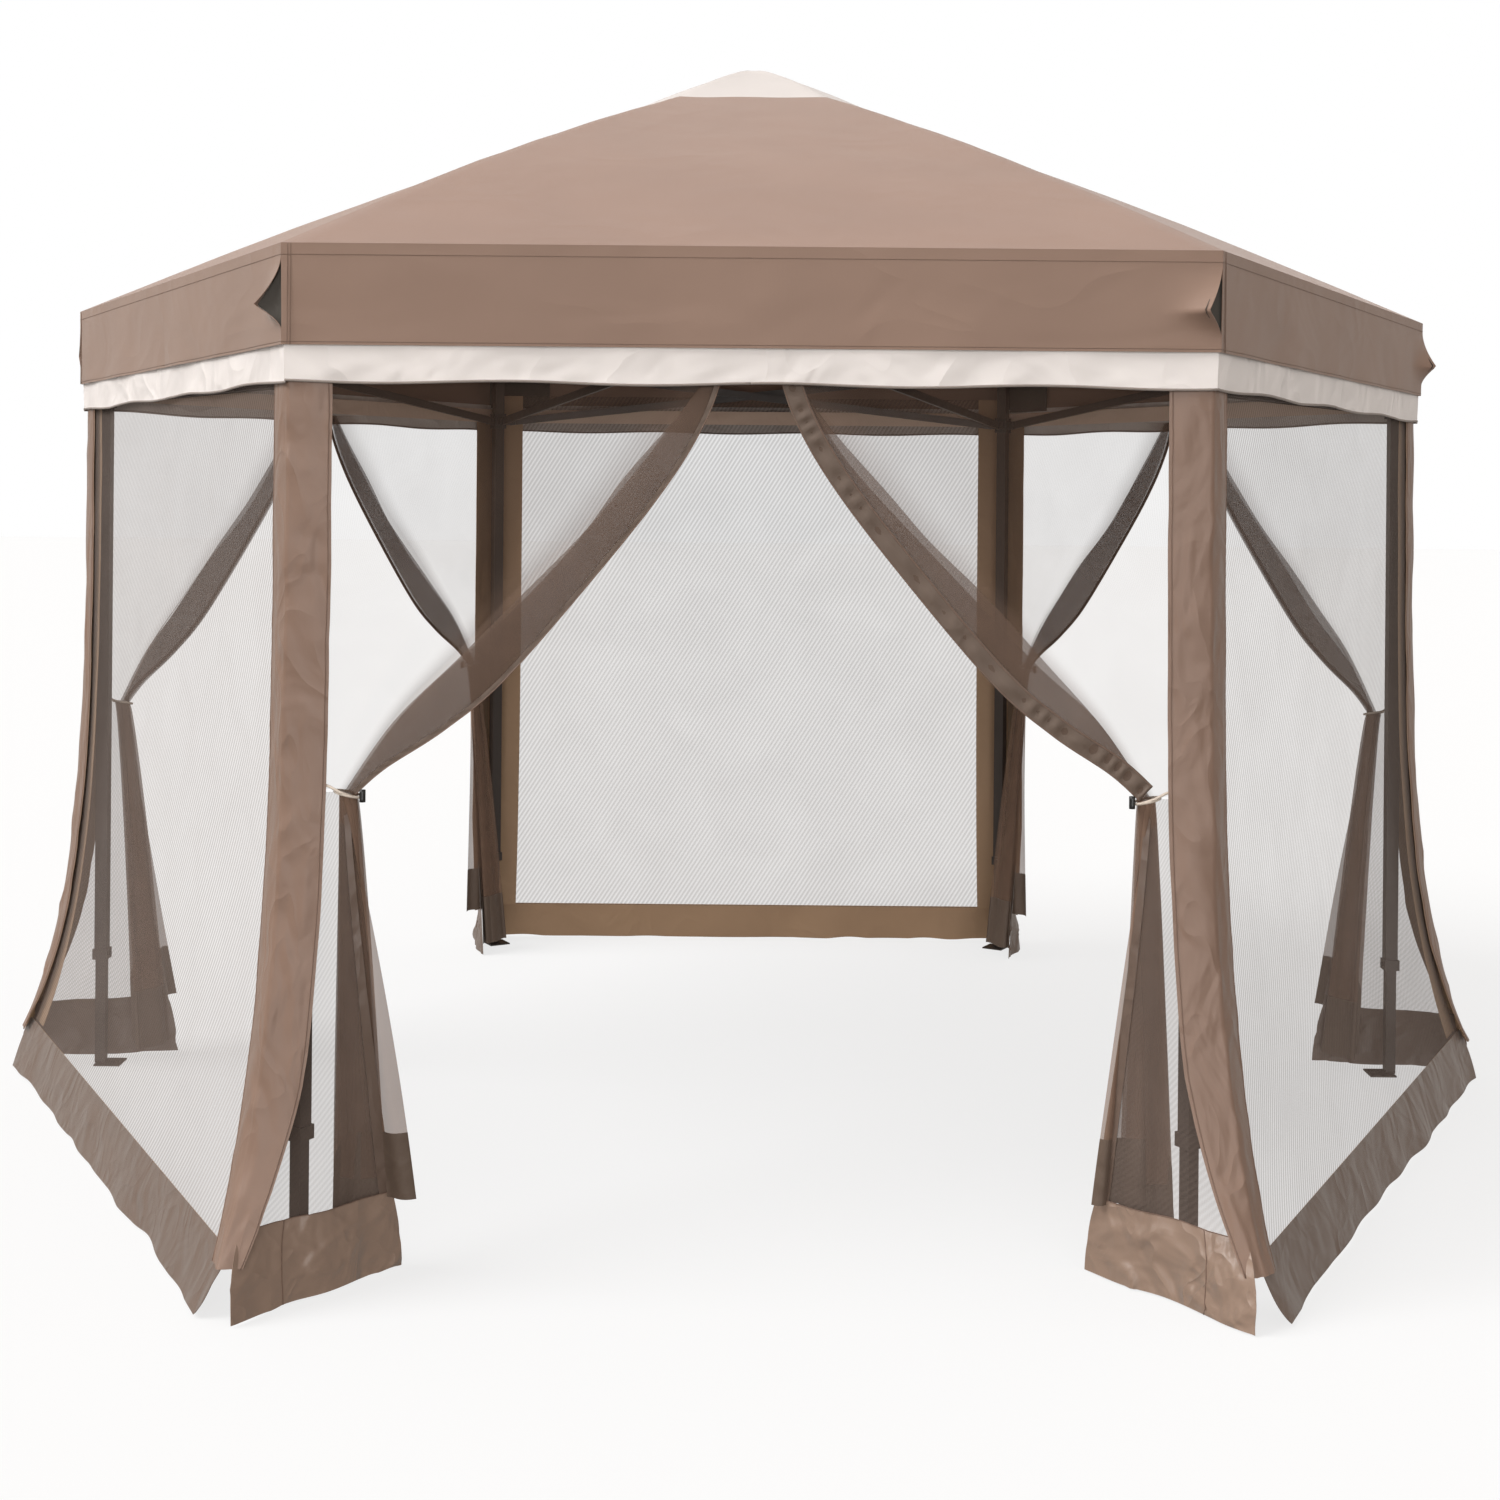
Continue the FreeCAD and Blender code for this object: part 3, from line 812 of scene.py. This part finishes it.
def skirt(half):
    """Sewn band that runs out over the floor; at the back it stands straight."""
    start = wall_apothem(SKIRT_Z, half.leg)
    far = start + BACK_SKIRT_RUN if half.leg in BACK_LEGS else SKIRT_A

    def place(s, v):
        height = SKIRT_Z * (1 - v) ** 1.15 if v < 1 else 0.0
        apothem = start + (far - start) * v ** 0.9 if v > 0 else start
        end = corner_along(apothem) - SKIRT_GAP * max(0.0, v) ** 2
        along = end * s
        apothem += 0.21 * (far - start) * max(0.0, s) ** 8 * max(0.0, v)
        spot = (along * half.end * 1.6, apothem * 1.2, half.side * 6.0)
        crumple = 0.018 * rough(spot, 5.0) + 0.008 * rough(spot, 13.0)
        crumple += 0.007 * fold_line(spot, 7.0)
        edge = 0.018 * rough((along * half.end, half.side * 2.0, 0), 5.0) * max(0.0, v)
        lift = max(0.0, crumple) * math.sin(math.pi * min(max(v, 0.0), 1.0))
        hem = 0.004 + 0.010 * max(0.0, rough((along * half.end, half.side, 4.0), 7.0)) * max(0.0, v)
        return half.point(apothem + edge, along, height + lift + hem)

    piece = cloth(
        f"skirt_{half.name}", place, columns=96, rows=18, material=SKIRT,
        flat=lambda s, v: half.flat(s * corner_along(NET_A), -0.16 * v),
    )
    # Faces that look into the room take the lighter inside cloth: painted light.
    line_inside(piece, half.out, INSIDE)
    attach(piece, half.body)
    half.fold(piece)


def corner_strip(leg):
    """Brown strip sewn over each corner from the band to the floor."""
    first = next(half for half in HALVES if half.leg == leg and half.end > 0)
    second = next(half for half in HALVES if half.leg == leg and half.end < 0)
    top = BAND_HIGH_Z - 0.02
    bottom = STRIP_FOOT_Z
    width = STRIP_HALF_WIDTH
    middle = (first.out + second.out) * 0.5

    def place(s, v):
        height = top + (bottom - top) * v
        low = max(0.0, 1 - height / 0.45)
        apothem = wall_apothem(height, leg) + 0.004 + 0.020 * low ** 2
        end = corner_along(apothem)
        half = first if s < 0.5 else second
        reach = abs(s - 0.5) * 2 * width * (1 - 0.62 * low ** 1.2)
        across = (s - 0.5) * 2 * width
        spot = (across * 10 + height * 3.0, height * 5.0 - across * 8, leg * 3.0)
        crease = (0.003 + 0.004 * v) * rough(spot, 1.0) + 0.002 * rough(spot, 2.3)
        crease += (0.001 + 0.004 * v) * fold_line(spot, 0.7)
        belly = 0.004 * math.sin(math.pi * min(1.0, reach / width))
        spread = 1 - abs(s - 0.5) * 0.8
        return half.point(apothem, end - reach, height) + middle * (crease * spread + belly)

    piece = cloth(
        f"corner_strip_{leg}", place, columns=24, rows=STRIP_ROWS, material=STRIP,
        flat=lambda s, v: Vector((s * 2 * width, v * 1.8, 0)),
    )
    # Faces that look into the room take the lighter inside cloth: painted light.
    line_inside(piece, middle, INSIDE)
    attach(piece, f"leg_{leg}")
    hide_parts(f"net_panel_{leg}")
    lines = []
    for share in STRIP_SEAMS:
        points = [
            place(share, step / STRIP_ROWS) + middle * 0.0010 for step in range(STRIP_ROWS + 1)
        ]
        lines.append(tube("seam", points, 0.0012, SEAM, sides=6))
    whole = joined(f"strip_stitching_{leg}", lines)
    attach(whole, f"leg_{leg}")


for half in HALVES:
    cream_band(half)
    top_tape(half)
    if not half.is_door:
        closed_wall(half)
        wall_border(half)
        skirt(half)
for leg in SIDES:
    corner_strip(leg)


# ---------------------------------------------------------------- door curtains

TIE_Z = 0.972
TIE_ALONG = 0.780
TIE_APOTHEM = NET_A - 0.006
LEG_ALONG = 0.893
CURTAIN_KEEP = 0.12
CURTAIN_STILL = 0.86
TIE_STILL = 0.84
PANEL_STILL = 0.83
TAIL_STILL = 0.81
# Places on a curtain's half side: (along, height) for its two edges, above the tie.
FREE_EDGE = [
    (0.055, 1.800), (0.086, 1.711), (0.152, 1.596), (0.267, 1.444),
    (0.469, 1.206), (0.592, 1.100), (0.707, 1.024), (0.766, 0.972),
]
BAND_EDGE = [
    (0.085, 1.800), (0.168, 1.692), (0.255, 1.590), (0.345, 1.487),
    (0.455, 1.380), (0.570, 1.258), (0.690, 1.130), (0.792, 0.976),
]
BAND_SHARE = 0.62
BAND_LAYERS = 5
LAYER_STEP = 0.0022
CURTAIN_WIDTH = 0.84
TAPE_LENGTH = 1.1
WIDE_TAPE = 0.040
NARROW_TAPE = 0.010
# Places on the floor: (along, apothem), from the doorway to the leg and for the tail's pleats.
PANEL_FLOOR = [(0.690, 1.420), (0.770, 1.510), (0.865, 1.620), (0.955, 1.735)]
BACK_PANEL_FLOOR = [(0.690, 1.420), (0.745, 1.485), (0.815, 1.562), (0.900, 1.610)]
TAIL_FLOOR = [
    (0.655, 1.466), (0.765, 1.459), (0.818, 1.452), (0.715, 1.445),
    (0.825, 1.438), (0.718, 1.431), (0.822, 1.424),
]
TAIL_RISE = 0.115
TAIL_SHIFT = {"1b": 0.040}
HEM = 0.155
TAIL_NET_SHARE = 0.835


def along_points(points, share):
    """Smooth place on a list of points, by Catmull-Rom."""
    share = min(max(share, 0.0), 1.0) * (len(points) - 1)
    index = min(int(share), len(points) - 2)
    t = share - index
    before = Vector(points[max(index - 1, 0)])
    start, stop = Vector(points[index]), Vector(points[index + 1])
    after = Vector(points[min(index + 2, len(points) - 1)])
    return 0.5 * (
        2 * start + (stop - before) * t
        + (2 * before - 5 * start + 4 * stop - after) * t * t
        + (3 * start - before - 3 * stop + after) * t ** 3
    )


def eased(low, high, value):
    share = min(max((value - low) / (high - low), 0.0), 1.0)
    return share * share * (3 - 2 * share)


def curtain(half):
    """Upper part of a tied-back curtain: folded layers along its free edge, then one to the leg."""
    seed = half.side * 2.0 + half.end

    def place(s, v):
        v = min(max(v, 0.0), 1.0)
        free = along_points(FREE_EDGE, v)
        band = along_points(BAND_EDGE, v)
        ripple = 0.005 * rough((s * 9, v * 2.5, seed), 1.0)
        if s < BAND_SHARE:
            turn = BAND_LAYERS * s / BAND_SHARE
            across = 0.5 - 0.5 * math.cos(math.pi * turn)
            loose = math.sin(math.pi * turn / BAND_LAYERS)
            across *= 1 - 0.35 * loose * (0.5 + rough((round(turn) * 3.7, v * 2.5, seed), 1.0))
            spot = free.lerp(band, across)
            depth = 0.004 * math.sin(math.pi * turn) - LAYER_STEP * turn + ripple
        else:
            share = (s - BAND_SHARE) / (1 - BAND_SHARE)
            height = BAND_HIGH_Z - 0.03 + (TIE_Z + 0.02 - BAND_HIGH_Z + 0.03) * v
            spot = band.lerp(Vector((LEG_ALONG, height)), share)
            folds = 0.006 * math.sin(share * 19 + seed) * eased(0.15, 1.0, v) * (1 - share)
            depth = folds + ripple * (1 - share)
            depth -= LAYER_STEP * BAND_LAYERS * max(0.0, 1 - share * 3)
        return half.point(NET_A - 0.002 + (TIE_APOTHEM - NET_A) * v + depth, spot.x, spot.y)

    def flat(s, v):
        gather = 1 - eased(BAND_SHARE - 0.02, BAND_SHARE + 0.05, s)
        return half.flat(s * CURTAIN_WIDTH, v * 1.05, gather)

    piece = cloth(
        f"curtain_net_{half.name}", place, columns=100, rows=50, material=CURTAIN_NET, flat=flat,
        thickness=0,
    )
    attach(piece, half.body)
    half.fold(piece, CURTAIN_STILL, CURTAIN_KEEP)
    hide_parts(f"net_panel_{half.leg}")
    is_wide = half.side == 1 and half.end > 0
    width = WIDE_TAPE if is_wide else NARROW_TAPE

    def tape_place(s, v):
        spot = place(0.0, v)
        ahead = place(0.0, min(1.0, v + 0.02)) - place(0.0, max(0.0, v - 0.02))
        side_way = ahead.normalized().cross(half.out)
        if side_way.dot(half.toward) < 0:
            side_way = -side_way
        pucker = 0.0035 * math.sin(v * 150 + 2 * math.sin(v * 37)) * (1 - abs(2 * s - 1))
        lift = half.out * (0.005 + pucker * width / WIDE_TAPE)
        return spot + side_way * (width * s - 0.001) + lift

    tape = cloth(
        f"curtain_tape_{half.name}", tape_place, columns=6, rows=160, material=CURTAIN_TAPE,
        flat=lambda s, v: Vector((s * width, v * TAPE_LENGTH, 0)),
    )
    lines = []
    for share in ((0.04, 0.93) if is_wide else (0.05,)):
        points = [tape_place(share, step / 100) + half.out * 0.001 for step in range(101)]
        lines.append(tube("seam", points, 0.0011, SEAM, sides=6))
    stitching = joined(f"tape_stitching_{half.name}", lines)
    for part in (tape, stitching):
        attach(part, half.body)
        half.fold(part, CURTAIN_STILL, CURTAIN_KEEP)


def leg_panel(half):
    """Lower part of the curtain that stays sewn to the leg; its hem runs in over the floor."""
    seed = half.side * 5.0 + half.end
    floor_line = BACK_PANEL_FLOOR if half.leg in BACK_LEGS else PANEL_FLOOR

    def place(s, v):
        height = TIE_Z * (1 - v) + 0.004
        fall = max(0.0, v) ** 1.25
        inner = Vector((TIE_ALONG, TIE_APOTHEM)).lerp(Vector(floor_line[0]), fall)
        apothem = wall_apothem(height, half.leg)
        low = max(0.0, 1 - height / 0.17)
        outer = Vector((corner_along(apothem) - 0.012, apothem))
        outer = outer.lerp(Vector(floor_line[-1]), low ** 0.9)
        straight = inner.lerp(outer, s)
        floor = along_points(floor_line, s)
        spot = straight.lerp(floor, low * 0.8)
        wave = 0.014 * math.sin(s * 9 + seed) * fall * math.sin(math.pi * min(max(s, 0.0), 1.0))
        wave += (0.004 + 0.006 * low) * fold_line((s * 5, v * 14, seed), 0.8) * fall
        wave += 0.006 * rough((s * 4, v * 5, seed), 1.0) * fall
        return half.point(spot.y + wave, spot.x, height)

    hem_share = 1 - HEM / TIE_Z
    net = cloth(
        f"leg_panel_net_{half.name}", lambda s, v: place(s, v * hem_share),
        columns=30, rows=36, material=LEG_NET,
        flat=lambda s, v: half.flat(0.7 + s * 0.2, TIE_Z * (1 - v)), thickness=0,
    )
    hem = cloth(
        f"leg_panel_hem_{half.name}",
        lambda s, v: place(s, hem_share + (1 - hem_share) * v) + half.out * 0.002,
        # The front doorway's hems take the lighter satin: painted sheen.
        columns=40, rows=14, material=HEM_PAINTED_SHEEN if half.side == 1 else SKIRT,
        flat=lambda s, v: half.flat(s * 0.4, v * HEM),
    )
    fold = cloth(
        f"leg_panel_edge_{half.name}",
        lambda s, v: place(0.10 * s - 0.01, v * hem_share) + half.out * 0.002,
        columns=4, rows=50, material=SKIRT, flat=lambda s, v: half.flat(s * 0.02, v),
    )
    across = [place(step / 40, hem_share) for step in range(41)]
    upright = [place(0.72, hem_share + (1 - hem_share) * step / 20) for step in range(21)]
    seams = [
        tube("seam", [spot + half.out * 0.004 for spot in line], 0.001, SEAM, sides=6)
        for line in (across, upright)
    ]
    stitching = joined(f"leg_panel_stitching_{half.name}", seams)
    for part in (net, hem, fold, stitching):
        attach(part, half.body)
        half.fold(part, PANEL_STILL, CURTAIN_KEEP)
    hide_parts(f"net_panel_{half.leg}")


def tail(half):
    """Folded free part of the curtain below its tie; the tie draws its hem up off the floor."""
    seed = half.side * 3.0 + half.end
    shift = Vector((TAIL_SHIFT.get(half.name, 0.0), 0))

    def place(s, v):
        rise = 0.035 + TAIL_RISE * (1 - eased(0.22, 0.36, s))
        height = TIE_Z + (rise - TIE_Z) * v
        fall = min(max(v, 0.0), 1.15)
        top = Vector((TIE_ALONG + 0.016 * math.cos(s * 19), TIE_APOTHEM + 0.012 * math.sin(s * 23)))
        spot = top.lerp(along_points(TAIL_FLOOR, s) + shift, fall ** 0.8)
        pleat = 0.008 * fall * math.sin(s * 47 + 2 * rough((s * 3, v, seed), 1.0))
        return half.point(spot.y + pleat, spot.x + pleat * 0.6, height)

    # The tail net is a lighter copy of the curtain net: painted light for the shaded tails.
    net = cloth(
        f"tail_net_{half.name}", lambda s, v: place(s, v * TAIL_NET_SHARE),
        columns=110, rows=36, material=TAIL_NET,
        flat=lambda s, v: half.flat(s * 0.9, v, 1.9 - 0.4 * eased(0.2, 0.4, s)), thickness=0,
    )
    hem = cloth(
        f"tail_hem_{half.name}",
        lambda s, v: place(s, TAIL_NET_SHARE + (1 - TAIL_NET_SHARE) * v),
        columns=110, rows=10, material=CURTAIN_TAPE,
        flat=lambda s, v: half.flat(s * 0.9, v * HEM),
    )
    for part in (net, hem):
        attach(part, half.body)
        half.fold(part, TAIL_STILL, CURTAIN_KEEP)
    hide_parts(f"net_panel_{half.leg}")


LOOP_STEPS = 25


def curtain_tie(half):
    """Thin cord loop round the gathered curtain, drawn tight by a small toggle."""
    centre = half.point(TIE_APOTHEM, TIE_ALONG, TIE_Z)
    turns = [2 * math.pi * step / LOOP_STEPS for step in range(LOOP_STEPS)]
    ring = [
        centre + half.toward * 0.027 * math.cos(turn) + half.out * 0.024 * math.sin(turn)
        + UP * 0.006 * math.cos(turn)
        for turn in turns
    ]
    loop = tube("loop", ring, CORD_RADIUS, CORD, closed=True)
    strap = tube(
        "strap",
        [
            half.point(TIE_APOTHEM + 0.022, TIE_ALONG - 0.012, TIE_Z - 0.002),
            half.point(TIE_APOTHEM + 0.024, TIE_ALONG + 0.012, TIE_Z + 0.006),
            half.point(TIE_APOTHEM + 0.016, TIE_ALONG + 0.034, TIE_Z + 0.016),
            half.point(TIE_APOTHEM + 0.008, TIE_ALONG + 0.056, TIE_Z + 0.022),
        ],
        CORD_RADIUS, CORD,
    )
    line = [
        half.point(TIE_APOTHEM + 0.014, TIE_ALONG - 0.030, TIE_Z - 0.014 + 0.006 * step)
        for step in range(5)
    ]
    toggle = tube("toggle", line, 0.006, KNOB, sides=12)
    whole = joined(f"curtain_tie_{half.name}", [loop, strap, toggle])
    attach(whole, half.body)
    half.fold(whole, TIE_STILL, CURTAIN_KEEP)


for half in HALVES:
    if half.is_door:
        curtain(half)
        leg_panel(half)
        tail(half)
        curtain_tie(half)


# ---------------------------------------------------------------- frame finishes

FINISHES = {
    "dark_metal": METAL,
    "dark_plastic": PLASTIC,
    "dark_rod": PLASTIC,
    "knob_plastic": KNOB,
}
slot_of = {entry["node"]: entry["material_slot"] for entry in frame["record"]["subparts"]}
for node, part in frame["nodes"].items():
    if slot_of[node] in FINISHES:
        part.data.materials.clear()
        part.data.materials.append(FINISHES[slot_of[node]])


# ---------------------------------------------------------------- floor, light, camera

def glow(name, diffuse, emission):
    """Studio white that stays bright where the canopy shades it."""
    shader = Shader(name, (diffuse, diffuse, diffuse), 0.8)
    shader.bsdf.inputs["Specular IOR Level"].default_value = 0
    shader.bsdf.inputs["Emission Color"].default_value = (1, 1, 1, 1)
    shader.bsdf.inputs["Emission Strength"].default_value = emission
    return shader.material


def stage_plane(name, corners, material):
    """Floor or backdrop: the camera sees it, but it doesn't light the object."""
    plane = mesh_piece(name, corners, [(0, 1, 2, 3)], material, smooth=False)
    plane.visible_diffuse = False
    plane.visible_glossy = False


def stage_set():
    """Floor, backdrop, sky, suns and camera."""
    scene = bpy.context.scene
    left, right = -FLOOR_REACH, FLOOR_REACH
    ground = [
        (left, FLOOR_NEAR, 0), (right, FLOOR_NEAR, 0), (right, FLOOR_FAR, 0), (left, FLOOR_FAR, 0),
    ]
    stage_plane("floor", ground, glow("pale_floor", diffuse=0.18, emission=0.76))
    upright = [
        (left, WALL_AT, WALL_FOOT), (right, WALL_AT, WALL_FOOT),
        (right, WALL_AT, WALL_TOP), (left, WALL_AT, WALL_TOP),
    ]
    stage_plane("backdrop", upright, glow("backdrop", diffuse=0.0, emission=1.0))
    world = bpy.data.worlds.new("studio")
    world.use_nodes = True
    tree = world.node_tree
    place = tree.nodes.new("ShaderNodeTexCoord")
    split = tree.nodes.new("ShaderNodeSeparateXYZ")
    ramp = tree.nodes.new("ShaderNodeMapRange")
    for name, value in SKY_RAMP:
        ramp.inputs[name].default_value = value
    tree.links.new(place.outputs["Generated"], split.inputs[0])
    tree.links.new(split.outputs["Z"], ramp.inputs["Value"])
    tree.links.new(ramp.outputs["Result"], tree.nodes["Background"].inputs["Strength"])
    tree.nodes["Background"].inputs["Color"].default_value = SKY_COLOUR
    scene.world = world
    for name, energy, spread, source in SUNS:
        lamp = bpy.data.lights.new(name, "SUN")
        lamp.energy = energy
        lamp.angle = math.radians(spread)
        holder = bpy.data.objects.new(name, lamp)
        holder.rotation_euler = Vector(source).to_track_quat("Z", "Y").to_euler()
        scene.collection.objects.link(holder)
    camera = bpy.data.cameras.new("camera")
    camera.sensor_width = SENSOR_WIDTH
    camera.lens = SENSOR_WIDTH * FOCAL_SHARE
    camera.shift_y = -HORIZON_SHARE
    camera.clip_end = CLIP_END
    viewer = bpy.data.objects.new("camera", camera)
    viewer.location = EYE
    viewer.rotation_euler = (math.radians(90), math.radians(CAMERA_ROLL), 0)
    scene.collection.objects.link(viewer)
    scene.camera = viewer
    scene.view_settings.view_transform = "Standard"
    scene.cycles.transparent_max_bounces = LIGHT_BOUNCES


stage_set()
